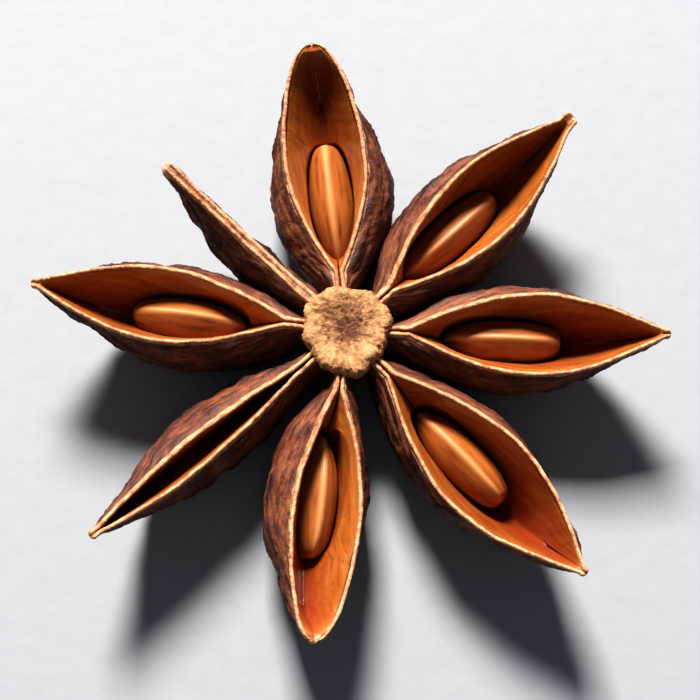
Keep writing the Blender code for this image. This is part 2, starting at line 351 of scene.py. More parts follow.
@dataclass(frozen=True)
class HuskFinish:
    """The wrinkled brown outer skin and the pale bead of the rims."""

    # hollow is the painted shade colour of the wrinkles' hollows; the dark specks use it too.
    hollow: str = "190a08"
    low: str = "361911"
    middle: str = "592d1c"
    crest_and_highlight: str = "8c5636"
    # crest is partly the skin's own paler tone and partly a painted highlight on the wrinkles' crests.
    rust: str = "7d3a20"
    rim: str = "c8946c"
    rim_shade: str = "8a5438"
    frayed: str = "b8937a"

    def material(self) -> bpy.types.Material:
        """Makes the finish from the wrinkles' own height: near black in the hollows as painted shade, paler crests
        partly the skin's own tone and partly painted highlight, with finer granules over it.
        """
        weave = Weave("husk")
        place = weave.lay((1.0, 1.0, 1.0))
        along = weave.lay((0.45, 1.6, 1.0))
        fine = weave.noise(along, 3.2, 4.0, 0.65)
        patches = weave.noise(place, 0.45, 2.0)
        height = weave.between(weave.value("relief"), -1.0, 1.0)
        tone = weave.sum(weave.sum(height, 0.62, "MULTIPLY"), weave.sum(fine, 0.55, "MULTIPLY"))
        tone = weave.sum(tone, 0.1, "SUBTRACT", clamp=True)
        # Colour by wrinkle height: near-black hollows are painted shade, paler crests partly painted highlight.
        skin = weave.ramp(tone, ((0.18, self.hollow), (0.38, self.low), (0.56, self.middle), (0.82, self.crest_and_highlight)))
        rusty = weave.between(patches, 0.42, 0.66, 0.1, 0.6)
        skin = weave.mix(rusty, skin, self.rust, "OVERLAY")
        specks = weave.between(weave.cells(place, 4.5), 0.0, 0.28, 0.45, 0.0)
        skin = weave.mix(specks, skin, self.hollow)

        bead_tone = weave.between(weave.noise(place, 2.4, 4.0, 0.6), 0.34, 0.6)
        bead = weave.mix(bead_tone, self.rim_shade, self.rim)
        rim = weave.between(weave.sum(weave.value("rim"), weave.between(fine, 0.3, 0.7, -0.22, 0.22)), 0.35, 0.75)
        colour = weave.mix(rim, skin, bead)
        torn = weave.between(weave.value("torn"), 0.2, 0.8)
        colour = weave.mix(torn, colour, weave.mix(bead_tone, self.rim_shade, self.frayed))

        granules = weave.sum(weave.noise(place, 7.0, 3.0, 0.6), weave.sum(fine, 0.8, "MULTIPLY"))
        relief = weave.bump(granules, 0.055)
        rough = weave.between(tone, 0.2, 0.8, 0.5, 0.72)
        return weave.finish(colour, rough, relief, Specular_IOR_Level=0.35)


@dataclass(frozen=True)
class LiningFinish:
    """The smooth amber inside of a carpel, streaked along its length."""

    # deep is the painted shade colour that the lining takes towards the pocket's floor.
    deep: str = "6c1a06"
    dark: str = "803a16"
    amber: str = "985320"
    bright: str = "ab6b30"
    edge: str = "965a34"
    fleck: str = "501808"

    def material(self) -> bpy.types.Material:
        """Makes the finish: amber by streaks, darker towards the pocket's floor as painted shade, paler under the
        rims.
        """
        weave = Weave("lining")
        place = weave.lay((1.0, 1.0, 1.0))
        streak = weave.noise(weave.lay((0.22, 1.7, 1.0)), 1.1, 4.0, 0.55)
        mottle = weave.noise(weave.lay((0.6, 1.1, 1.0)), 0.9, 3.0)
        tone = weave.sum(weave.sum(streak, 0.6, "MULTIPLY"), weave.sum(mottle, 0.4, "MULTIPLY"))
        colour = weave.ramp(tone, ((0.3, self.dark), (0.5, self.amber), (0.68, self.bright)))
        # Painted shade: darker and redder the further below the rims.
        depth = weave.between(weave.value("depth"), 0.1, 0.7, 0.0, 0.8)
        colour = weave.mix(depth, colour, self.deep)
        flecks = weave.between(weave.noise(place, 3.0, 2.0), 0.63, 0.72, 0.0, 0.4)
        colour = weave.mix(flecks, colour, self.fleck)
        edge = weave.between(weave.value("rim"), 0.1, 0.9)
        colour = weave.mix(edge, colour, self.edge)
        relief = weave.bump(streak, 0.03, weave.bump(weave.noise(place, 4.0, 2.0), 0.012))
        rough = weave.between(mottle, 0.3, 0.7, 0.26, 0.42)
        return weave.finish(
            colour, rough, relief, Specular_IOR_Level=0.5, Coat_Weight=0.25, Coat_Roughness=0.22
        )


@dataclass(frozen=True)
class SeedFinish:
    """The hard, polished coat of a seed, with a painted highlight along the ridge of its upper edge."""

    # dark is the streaks' darkest tone and also the painted shade over the seed's lower half.
    dark: str = "6c3210"
    coat: str = "8c4a1a"
    light: str = "9a5724"
    # ridge is the painted highlight colour along the seed's upper edge.
    ridge: str = "c08350"

    def material(self) -> bpy.types.Material:
        """Makes the finish: a glossy coat, faintly streaked along the seed, with a painted highlight along its ridge
        and painted shade over its lower half.
        """
        weave = Weave("seed_coat")
        streak = weave.noise(weave.lay((0.35, 1.8, 1.0)), 1.2, 3.0)
        colour = weave.ramp(streak, ((0.3, self.dark), (0.46, self.coat), (0.66, self.light)))
        # Painted highlight: the pale ridge colour laid along the upper edge.
        ridge = weave.between(weave.value("ridge"), 0.25, 0.95, 0.0, 0.75)
        colour = weave.mix(ridge, colour, self.ridge)
        # Painted shade: the lower half darkens towards dark.
        colour = weave.mix(weave.between(weave.value("depth"), 0.0, 1.0, 0.0, 0.65), colour, self.dark)
        relief = weave.bump(streak, 0.025)
        rough = weave.between(streak, 0.3, 0.7, 0.5, 0.62)
        return weave.finish(
            colour, rough, relief, Specular_IOR_Level=0.3, Coat_Weight=0.06, Coat_Roughness=0.28
        )


@dataclass(frozen=True)
class ColumnFinish:
    """The crumbly pale ring of the column, its brown pitted middle and its dark flanks."""

    pit: str = "341610"
    middle: str = "5c3523"
    tan: str = "8c6240"
    pale: str = "b98c60"
    flank: str = "3a1e16"

    def material(self) -> bpy.types.Material:
        """Makes the finish from the distance to the axis and the crumbs' own height."""
        weave = Weave("column")
        place = weave.lay((1.0, 1.0, 1.0))
        crumbs = weave.noise(place, 3.4, 4.0, 0.7)
        strands = weave.noise(weave.vector("spoke"), 1.3, 4.0, 0.65)
        height = weave.between(weave.value("relief"), -1.0, 1.0)
        tone = weave.sum(weave.sum(crumbs, 0.55, "MULTIPLY"), weave.sum(strands, 0.5, "MULTIPLY"))
        tone = weave.sum(weave.sum(tone, weave.sum(height, 0.35, "MULTIPLY")), 0.17, "SUBTRACT")
        ring = weave.ramp(tone, ((0.28, self.middle), (0.5, self.tan), (0.74, self.pale)))
        core = weave.ramp(tone, ((0.34, self.pit), (0.6, self.middle), (0.85, self.tan)))
        outward = weave.sum(weave.value("outward"), weave.between(crumbs, 0.3, 0.7, -0.14, 0.14))
        colour = weave.mix(weave.between(outward, 0.22, 0.62), core, ring)
        below = weave.sum(weave.value("below"), weave.between(crumbs, 0.3, 0.7, -0.2, 0.2))
        colour = weave.mix(weave.between(below, 0.2, 0.7), colour, weave.mix(tone, self.pit, self.flank))
        relief = weave.bump(weave.noise(place, 9.0, 3.0, 0.65), 0.05, weave.bump(tone, 0.14))
        return weave.finish(colour, 0.78, relief, Specular_IOR_Level=0.25)


@dataclass(frozen=True)
class FloorFinish:
    """A pale, matt table top."""

    pale: str = "8f9196"
    shade: str = "8a8c91"

    def material(self) -> bpy.types.Material:
        """Makes the finish: near white, with a faint tooth."""
        weave = Weave("floor")
        place = weave.node("ShaderNodeTexCoord", {}).outputs["Object"]
        tooth = weave.noise(place, 900.0, 2.0)
        colour = weave.mix(tooth, self.shade, self.pale)
        return weave.finish(colour, 0.7, weave.bump(tooth, 0.02), Specular_IOR_Level=0.2)


# ---------------------------------------------------------------- the carpels


class Tip(Enum):
    """How a carpel ends."""

    POINTED = "pointed"
    BLUNT = "blunt"
    FORKED = "forked"
    BROKEN = "broken"


@dataclass(frozen=True)
class Seed:
    """A seed's size and its place in the carpel that holds it."""

    out: float
    length: float
    below_rims: float = 2.9
    thickness: float = 2.5
    height: float = 3.6
    point: float = 0.22
    rings: int = 70
    around: int = 72
    ridge_height: float = 0.1
    ridge_width: float = 0.24
    keenness: float = 1.3

    def shape(self, name: str) -> Skin:
        """The lens in its own frame: its length along x, its thickness along y and standing on edge.

        Args:
            name: The piece's name.

        Returns:
            The skin, round the origin.
        """
        turn = np.linspace(0.0, math.pi, self.rings + 1)[1:-1]
        spin = np.linspace(0.0, 2.0 * math.pi, self.around, endpoint=False)
        turn, spin = np.meshgrid(turn, spin, indexing="ij")
        x = -np.cos(turn)
        inward = np.maximum(0.0, -x)
        narrowed = 1.0 - self.point * inward**2
        radius = np.sin(turn) ** np.where(x > 0.0, 0.6, 0.9)
        side, up = radius * np.sin(spin), radius * np.cos(spin)
        side = np.where(up > 0.0, radius * np.sign(side) * np.abs(np.sin(spin)) ** self.keenness, side)
        ridge = hump(side * 0.5 * self.thickness, 0.0, self.ridge_width) * (up > 0.0)
        fade = smooth_step(0.0, 0.35, radius)
        lift = self.ridge_height * ridge * fade * smooth_step(-0.95, -0.5, x) * (1.0 - smooth_step(0.7, 0.98, x))
        y = 0.5 * self.thickness * narrowed * side
        z = 0.5 * self.height * narrowed * up + lift - self.ridge_height * fade * (up > 0.0) * 0.6
        length = 0.5 * self.length * x
        points = np.stack([length, y, z], axis=-1)
        dimple = layered_grain(points * 0.9 + self.out, 5, 2)
        points[..., 1] *= 1.0 + 0.02 * dimple
        return Skin(
            name,
            points,
            {
                # ridge also masks the painted highlight in the seed's finish.
                "ridge": ridge * fade,
                # depth masks the painted shade over the seed's lower half.
                "depth": 1.0 - smooth_step(-0.5, 0.35, up),
                "lay": np.stack([length + 7.0 * self.out, spin * 0.5 * self.thickness, z], axis=-1),
            },
            [face[::-1] for face in ring_faces(self.rings - 1, self.around)],
            [0] * ((self.rings - 2) * self.around + 2),
        )


@dataclass(frozen=True)
class Wrinkles:
    """The relief of the outer skin: sizes in millimetres along and around the carpel."""

    along: float = 2.6
    around: float = 0.75
    height: float = 0.17
    granule: float = 0.3
    granule_height: float = 0.045
    swell_length: float = 4.5
    swell_height: float = 0.22


@dataclass
class Carpel:
    """One carpel: its place, its size, how far it has split, how it is turned and how it ends."""

    name: str
    heading: float
    reach: float
    tip_height: float
    breadth: float
    gape: float
    roll: float
    tip: Tip = Tip.POINTED
    tip_fullness: float = 1.0
    keel_height: float = 0.0
    hollow: bool = True
    seed: Seed | None = None
    pattern: int = 0
    wrinkles: Wrinkles = field(default_factory=Wrinkles)

    base_out: float = 1.35
    rim_at_base: float = 5.7
    rim_dip: float = 0.3
    base_depth_share: float = 0.74
    belly_at: float = 0.48
    belly_fullness: float = 1.1
    gape_from: float = 0.12
    keel_sharpness: float = 1.25
    lip: float = 0.19
    least_half_width: float = 0.68
    beak_half_width: float = 0.24
    beak_height: float = 0.55
    least_gap: float = 0.07
    roll_from: float = 0.04
    roll_full: float = 0.28
    foot_cut: float = 0.15
    trough_share: float = 2.2
    trough_bend: float = 1.4
    groove_share: float = 0.6
    pocket_room: float = 0.06
    pocket_end_room: float = 0.2
    pocket_roundness: float = 2.5
    least_pocket: float = 0.05
    least_floor: float = 0.6
    slit_depth: float = 3.4
    bead_height: float = 0.12
    bead_overhang: float = 0.02
    bead_sink: float = 0.09

    lengthwise: int = 190
    outer_steps: int = 110
    inner_steps: int = 84
    bead_steps: int = 11
    closing_steps: int = 7
    tip_crowding: float = 1.45

    # ---- the sizes of a section

    def stations(self) -> np.ndarray:
        """Places along the carpel, closer together towards its tip."""
        steps = np.linspace(0.0, 1.0, self.lengthwise)
        return 1.0 - (1.0 - steps) ** self.tip_crowding

    def out_at(self, along: np.ndarray) -> np.ndarray:
        """Distance from the column's axis."""
        return blend(self.base_out, self.reach, along)

    def rim_height(self, along: np.ndarray) -> np.ndarray:
        """Height of the two rims."""
        rise = blend(self.rim_at_base, self.tip_height, along**1.6)
        return rise - self.rim_dip * np.sin(math.pi * along)

    def depth_share(self, along: np.ndarray) -> np.ndarray:
        """How deep the carpel is, as a share of its deepest section."""
        near = blend(self.base_depth_share, 1.0, np.sin(math.pi * np.minimum(along, 0.5)))
        turn = (np.maximum(0.0, along - 0.5) / 0.5) ** 1.3
        return np.where(along < 0.5, near, np.cos(0.5 * math.pi * np.minimum(turn, 1.0)) ** 0.9)

    def half_gape(self, along: np.ndarray) -> np.ndarray:
        """Half of the opening between the rims."""
        share = np.clip((along - self.gape_from) / (1.0 - self.gape_from), 0.0, 1.0)
        swell = np.maximum(0.0, np.sin(math.pi * share))
        swell = np.where(share > 0.5, swell**self.tip_fullness, swell)
        open_half = np.maximum(self.least_gap, 0.5 * self.gape * swell)
        if self.tip is Tip.FORKED:
            open_half += 0.16 * smooth_step(0.95, 1.0, along)
        return open_half

    def half_breadth(self, along: np.ndarray) -> np.ndarray:
        """Half of the full width, which stays outside the lips."""
        power = math.log(0.5) / math.log(self.belly_at)
        round_part = np.maximum(0.0, np.sin(math.pi * along**power))
        belly = 0.5 * self.breadth * round_part**self.belly_fullness
        least = blend(self.least_half_width, self.beak_half_width, smooth_step(0.2, 1.0, along))
        lips = self.half_gape(along) + self.lip + 0.02
        return np.maximum(np.maximum(belly, least), lips)

    def pocket_size(self, along: np.ndarray) -> tuple[np.ndarray, np.ndarray]:
        """The half width and the half height of the seed's pocket at each station, next to nothing without it."""
        if not self.seed:
            return np.full_like(along, self.least_pocket), np.full_like(along, self.least_pocket)
        seed = self.seed
        reach = (self.out_at(along) - seed.out) / (0.5 * seed.length + self.pocket_end_room)
        far = np.clip(np.abs(reach), 0.0, 1.0) ** self.pocket_roundness
        oval = (1.0 - far) ** (1.0 / self.pocket_roundness) * (1.0 - seed.point * np.clip(-reach, 0.0, 1.0) ** 2)
        wide = (0.5 * seed.thickness + self.pocket_room) * oval
        deep = (0.5 * seed.height + self.pocket_room) * oval
        return np.maximum(wide, self.least_pocket), np.maximum(deep, self.least_pocket)

    def roll_angle(self, along: np.ndarray) -> np.ndarray:
        """How far the carpel has rolled, in radians."""
        return math.radians(self.roll) * smooth_step(self.roll_from, self.roll_full, along)

    # ---- the outlines of a section, all stations at once

    def arc(
        self, half: np.ndarray, opening: np.ndarray, bottom: np.ndarray, top: np.ndarray,
        steps: int, sharpness: float = 1.0,
    ) -> np.ndarray:
        """One skin of every section, from its left end down round the keel and up to its right end.

        Args:
            half: Half of the skin's width, one value to a station, as are the next three.
            opening: Half of the distance between its ends.
            bottom: The keel's height.
            top: The ends' height.
            steps: How many steps the skin is cut into.
            sharpness: Over 1 narrows the lower half to a keel.

        Returns:
            (left, up) points, in an array of stations, points and 2.
        """
        rim = math.pi - np.arcsin(np.clip(opening / half, 0.0, 1.0))
        angle = rim[:, None] * np.linspace(-1.0, 1.0, steps + 1)[None, :]
        side = np.sin(angle)
        lower = np.abs(angle) < 0.5 * math.pi
        side = np.where(lower, np.sign(side) * np.abs(side) ** sharpness, side)
        share = (1.0 - np.cos(angle)) / (1.0 - np.cos(rim))[:, None]
        return np.stack([-half[:, None] * side, blend(bottom[:, None], top[:, None], share)], axis=-1)

    def trough(self, across: np.ndarray, gap: np.ndarray, deepest: np.ndarray) -> np.ndarray:
        """Depth below the rims of the trough that joins them, at these distances from its middle."""
        share = np.clip(np.abs(across) / gap, 0.0, 1.0)
        return deepest * (1.0 - share**self.trough_bend)

    def lining(self, along: np.ndarray, gap: np.ndarray, top: np.ndarray, height: np.ndarray) -> np.ndarray:
        """The inner skin from the left rim to the right one, in the same form as arc gives.

        Args:
            along: The stations.
            gap: Half of the opening there.
            top: The rims' height.
            height: The whole section's height.

        Returns:
            (left, up) points, in an array of stations, points and 2.
        """
        column = (slice(None), None)
        floor = (height - self.least_floor).clip(0.1)
        wanted = self.trough_share * gap if self.seed else np.full_like(gap, self.slit_depth)
        deepest = np.minimum(wanted if self.hollow else self.groove_share * gap, floor)[column]
        wide, deep = (part[column] for part in self.pocket_size(along))
        gap, floor = gap[column], floor[column]
        wide = np.minimum(wide, 0.97 * gap)
        axis = self.seed.below_rims if self.seed else 0.0
        slope_steps, wall_steps, round_steps = self.inner_steps // 5, self.inner_steps // 20, self.inner_steps // 4

        slope = blend(gap, wide, np.linspace(0.0, 1.0, slope_steps + 1)[None, :-1])
        wall = wide * np.linspace(1.0, 0.985, wall_steps + 1)[None, :-1]
        turn = np.linspace(math.acos(0.985), 0.5 * math.pi, round_steps + 1)[None, :]
        round_part = wide * np.cos(turn)
        brink = self.trough(wide, gap, deepest)
        pocket = np.minimum(axis + deep * np.sin(turn), floor)
        drop = np.maximum(pocket[:, :1] - brink, 0.0)
        x = np.concatenate([slope, wall, round_part], axis=1)
        depth = np.concatenate(
            [self.trough(slope, gap, deepest),
             np.maximum(self.trough(wall, gap, deepest), brink + drop * np.linspace(0.0, 1.0, wall_steps + 1)[:-1]),
             np.maximum(self.trough(round_part, gap, deepest), pocket)], axis=1,
        )
        x = np.concatenate([x, -x[:, -2::-1]], axis=1)
        depth = np.concatenate([depth, depth[:, -2::-1]], axis=1)
        rim_drop = self.bead_sink * smooth_step(0.75, 1.0, np.abs(x) / gap) * smooth_step(0.6, 0.0, depth)
        return np.stack([x, top[:, None] - np.maximum(depth, rim_drop)], axis=-1)

    def bead(self, gap: np.ndarray, lip: np.ndarray, top: np.ndarray, side: float) -> np.ndarray:
        """The rounded bead on one rim, from its outer foot over to its inner one."""
        angle = np.linspace(-0.35, math.pi + 0.35, self.bead_steps + 2)[1:-1][None, :]
        middle = (gap + 0.5 * lip)[:, None]
        half = (0.5 * lip + self.bead_overhang)[:, None]
        left = side * (middle + half * np.cos(angle))
        up = (top - self.bead_sink)[:, None] + self.bead_height * np.sin(angle)
        return np.stack([left, up], axis=-1)

    def keel_depth(self) -> float:
        """The depth below the rims that brings the rolled keel down to its height over the table."""
        along = self.stations()
        wanted = self.keel_height - self.foot_cut
        top, half = self.rim_height(along), self.half_breadth(along)
        opening = self.half_gape(along) + np.minimum(self.lip, half - self.half_gape(along) - 0.02)
        depth = self.tip_height
        for _ in range(5):
            height = np.maximum(self.beak_height, depth * self.depth_share(along))
            skin = self.arc(half, opening, top - height, top, 40, self.keel_sharpness)
            depth += float(self.rolled(along, skin)[..., 1].min()) - wanted
        return depth

    def rolled(self, along: np.ndarray, section: np.ndarray) -> np.ndarray:
        """Sections turned with the carpel's roll, about the middle of its opening."""
        angle = self.roll_angle(along)[:, None]
        pivot = self.rim_height(along)[:, None]
        left, up = section[..., 0], section[..., 1] - pivot
        return np.stack(
            [left * np.cos(angle) - up * np.sin(angle), pivot + left * np.sin(angle) + up * np.cos(angle)],
            axis=-1,
        )

    # ---- relief

    def skin_relief(self, out: np.ndarray, around: np.ndarray) -> np.ndarray:
        """The wrinkles' height over the outer skin, from about -1 to 1."""
        size = self.wrinkles
        drift = 0.5 * waver(out, self.pattern + 40, 5.0)
        places = np.stack([out / size.along, (around + drift) / size.around, np.full_like(out, self.pattern)], axis=-1)
        bend = 0.35 * grain(places * 0.5, self.pattern + 60)
        places[..., 1] += bend
        return np.clip(ridges(places, self.pattern + 3, 3), -1.2, 1.2)

    def lay_around(self, section: np.ndarray, kind: np.ndarray, around: np.ndarray) -> np.ndarray:
        """Where each point stands across the grain, which draws together towards the column and the tip.

        Args:
            section: The sections' points.
            kind: Which skin each point of a section belongs to.
            around: The way round each section in millimetres.

        Returns:
            The place across the grain in millimetres, from the keel on the outside and from the crease inside.
        """
        outer, inside = kind == 0, kind == 2
        lay = section[..., 0].copy()
        girth = around[:, outer][:, -1:]
        share = around[:, outer] / np.maximum(girth, 1e-6) - 0.5
        lay[:, outer] = share * blend(girth, girth.max(), 0.45)
        within = around[:, inside]
        from_crease = within - within[:, within.shape[1] // 2, None]
        gap = np.abs(section[:, inside][:, :1, 0])
        lay[:, inside] = from_crease * blend(gap, gap.max(), 0.4) / np.maximum(gap, 0.3)
        return lay

    def rings(self) -> tuple[np.ndarray, dict[str, np.ndarray], np.ndarray]:
        """Every section of the wall, with its relief, in the carpel's own frame.

        Returns:
            Points in an array of rings, points and 3, the named values of each point, and which skin each
            point of a ring belongs to.
        """
        along = self.stations()
        depth = self.keel_depth()
        top, gap, half = self.rim_height(along), self.half_gape(along), self.half_breadth(along)
        height = np.maximum(self.beak_height, depth * self.depth_share(along))
        lip = np.minimum(self.lip, half - gap - 0.02)
        outer = self.arc(half, gap + lip, top - height, top - self.bead_sink, self.outer_steps, self.keel_sharpness)
        inside = self.lining(along, gap, top, height)[:, ::-1]
        right, left = self.bead(gap, lip, top, -1.0), self.bead(gap, lip, top, 1.0)[:, ::-1]
        section = np.concatenate([outer, right, inside, left], axis=1)

        counts = [part.shape[1] for part in (outer, right, inside, left)]
        kind = np.repeat([0, 1, 2, 3], counts)
        is_outer, is_bead, is_inside = kind == 0, (kind == 1) | (kind == 3), kind == 2
        out = np.repeat(self.out_at(along)[:, None], section.shape[1], axis=1)
        stepped = np.linalg.norm(np.diff(section, axis=1, prepend=section[:, :1]), axis=-1)
        around = np.cumsum(stepped, axis=1)
        lay = self.lay_around(section, kind, around)
        below = np.clip((top[:, None] - section[..., 1]) / np.maximum(height[:, None], 1.0), 0.0, 1.0)

        near_rim = np.exp(-(top[:, None] - section[..., 1]).clip(0.0) / 0.9)
        side = np.sign(section[..., 0])
        for sign, seed in ((1.0, 11), (-1.0, 23)):
            mine = near_rim * (side == sign)
            sway = waver(out, self.pattern * 7 + seed, 2.2)
            lift = waver(out, self.pattern * 7 + seed + 5, 1.6)
            section[..., 0] += 0.1 * sway * mine
            section[..., 1] += 0.1 * lift * mine

        turned = np.gradient(section, axis=1)
        normal = np.stack([-turned[..., 1], turned[..., 0]], axis=-1)
        normal = -normal / np.maximum(np.linalg.norm(normal, axis=-1, keepdims=True), 1e-9)
        relief = self.skin_relief(out, lay)
        from_rim = np.minimum(
            np.abs(around - around[:, :1]), np.abs(around - around[:, counts[0] - 1 : counts[0]])
        )
        size = self.wrinkles
        cover = smooth_step(0.0, 0.55, from_rim) * smooth_step(self.base_out, 3.2, out) * is_outer
        cover *= blend(1.0, 0.45, smooth_step(0.9, 1.0, along))[:, None]
        places = np.stack([out, around, np.full_like(out, self.pattern * 3.1)], axis=-1)
        fine = layered_grain(places / size.granule, self.pattern + 90, 2)
        swell = layered_grain(
            np.stack([out / size.swell_length, section[..., 0] / 2.2, section[..., 1] / 2.2], axis=-1),
            self.pattern + 120, 2,
        )
        push = cover * (size.height * relief + size.granule_height * fine + size.swell_height * (swell - 0.35))
        crumb = layered_grain(places / np.array([0.7, 0.25, 1.0]), self.pattern + 150, 2)
        push = push + 0.035 * crumb * is_bead
        ease = layered_grain(places / np.array([3.5, 0.9, 1.0]), self.pattern + 170, 2)
        across = np.abs(section[..., 0])
        push = push + 0.035 * ease * is_inside * smooth_step(0.0, 0.3, gap[:, None] - across) * smooth_step(0.1, 0.5, across)
        section = section + normal * push[..., None]

        section = self.rolled(along, section)
        points = np.concatenate([out[..., None], section], axis=-1)
        rim = np.where(is_bead, 1.0, 0.0)
        rim = rim + is_outer * (1.0 - smooth_step(0.0, 0.28, from_rim))
        rim = rim + is_inside * np.exp(-np.minimum(
            np.abs(around - around[:, [counts[0] + counts[1]]]),
            np.abs(around - around[:, [sum(counts[:3]) - 1]]),
        ) / 0.22)
        tipped = smooth_step(0.95, 1.0, along)[:, None]
        rim = np.clip(rim + 0.7 * tipped * (is_outer | is_bead), 0.0, 1.0)
        values = {
            "rim": rim,
            # relief also colours the husk: painted shade in the hollows, partly painted highlight on the crests.
            "relief": relief * np.where(is_outer, 1.0, 0.0),
            # depth is the share below the rims; the lining's painted shade follows it.
            "depth": below,
            "torn": np.zeros_like(out) + (smooth_step(0.93, 1.0, along)[:, None] if self.tip is Tip.BROKEN else 0.0),
            "lay": np.stack([out + 23.0 * self.pattern, lay, np.full_like(out, 1.7 * self.pattern)], axis=-1),
        }
        return points, values, kind

    def closed(self, points: np.ndarray, values: dict[str, np.ndarray]) -> tuple[np.ndarray, dict[str, np.ndarray]]:
        """Adds the rings that round off the tip, drawn in from its last section.

        Args:
            points: The rings of the wall.
            values: Their named values.

        Returns:
            The same with the closing rings added.
        """
        last = points[-1]
        middle = last.mean(axis=0)
        turn = np.linspace(0.0, 0.5 * math.pi, self.closing_steps + 1)[1:]
        shrink = np.cos(turn).clip(0.02)
        ahead = 0.18 * np.sin(turn)
        if self.tip is Tip.BROKEN:
            jag = grain(last * np.array([1.0, 3.1, 3.1]) + self.pattern, 77)
        else:
            jag = np.zeros(len(last))
        more = []
        for small, forward in zip(shrink, ahead):
            ring = middle + (last - middle) * small
            ring[:, 0] = last[:, 0] + forward + 0.45 * jag * forward / 0.18
            more.append(ring)
        points = np.concatenate([points, np.stack(more)], axis=0)
        count = len(more)
        return points, {
            name: np.concatenate([value, np.repeat(value[-1:], count, axis=0)], axis=0)
            for name, value in values.items()
        }

    def build(self, materials: list[bpy.types.Material]) -> bpy.types.Object:
        """Makes the wall of the carpel where it grows from the column.

        Args:
            materials: The husk's finish and the lining's.

        Returns:
            The object, in the row frame.
        """
        points, values, kind = self.rings()
        points, values = self.closed(points, values)
        points[..., 0] -= 0.18 * smooth_step(0.6 * self.reach, self.reach, points[..., 0])
        heading = math.radians(self.heading)
        out, left = points[..., 0].copy(), points[..., 1].copy()
        points[..., 0] = COLUMN_AT[0] + out * math.cos(heading) - left * math.sin(heading)
        points[..., 1] = COLUMN_AT[1] + out * math.sin(heading) + left * math.cos(heading)
        points[..., 2] = np.maximum(points[..., 2], 0.0)
        rings, around = points.shape[:2]
        slots = np.where((kind == 2) & (np.roll(kind, -1) == 2), 1, 0)
        face_slots = np.tile(slots, rings - 1).tolist() + [0, 0]
        faces = [face[::-1] for face in ring_faces(rings, around)]
        return Skin(f"carpel_{self.name}", points, values, faces, face_slots).make(materials)

    def build_seed(self, material: bpy.types.Material) -> bpy.types.Object:
        """Makes the seed and lays it where its solid is.

        Args:
            material: The seed's finish.

        Returns:
            The object, in the row frame.
        """
        node = f"seed_{self.name}"
        made = self.seed.shape(f"{node}_coat").make([material])
        along = (self.seed.out - self.base_out) / (self.reach - self.base_out)
        lean = float(self.roll_angle(np.array(along)))
        low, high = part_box(node)
        turned = Matrix.Rotation(math.radians(self.heading), 4, "Z")
        made.matrix_world = Matrix.Translation((low + high) / 2.0) @ turned @ Matrix.Rotation(lean, 4, "X")
        return made

    def dress(self, husk: bpy.types.Object, seed: bpy.types.Object | None) -> None:
        """Gives the pieces their body and the solids they stand for."""
        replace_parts(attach(husk, BODY), POD_NODE)
        if seed:
            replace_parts(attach(seed, BODY), f"seed_{self.name}")


# ---------------------------------------------------------------- the column


